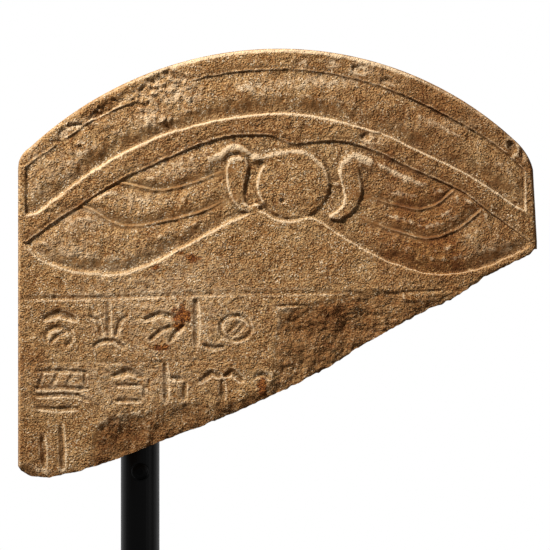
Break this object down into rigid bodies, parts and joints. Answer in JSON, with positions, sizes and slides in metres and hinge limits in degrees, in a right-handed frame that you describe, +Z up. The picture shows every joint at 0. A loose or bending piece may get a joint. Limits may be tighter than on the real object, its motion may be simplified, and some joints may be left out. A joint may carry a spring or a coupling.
{
  "type": "carved stone stele",
  "caption": "Upper fragment of a round-topped stone stele with a winged disc in sunk relief, broken off slantwise and held on a round black post with a foot plate.",
  "frame": {"origin": "middle of the foot plate's underside, which is the bottom centre of the whole object", "axes": "+Z up, along the stele's height; the carved face looks to -Y; +X to the right as the face is seen"},
  "size_m": [0.332, 0.16, 0.3706],
  "materials": {
    "sandstone": "matt, gritty, weathered",
    "black_steel": "satin black paint",
    "screw_steel": "satin black oxide"
  },
  "bodies": {
    "root": {"stele_fragment": "sandstone", "stand_post": "black_steel", "lock_screw": "screw_steel", "stand_foot": "black_steel"}
  },
  "joints": []
}
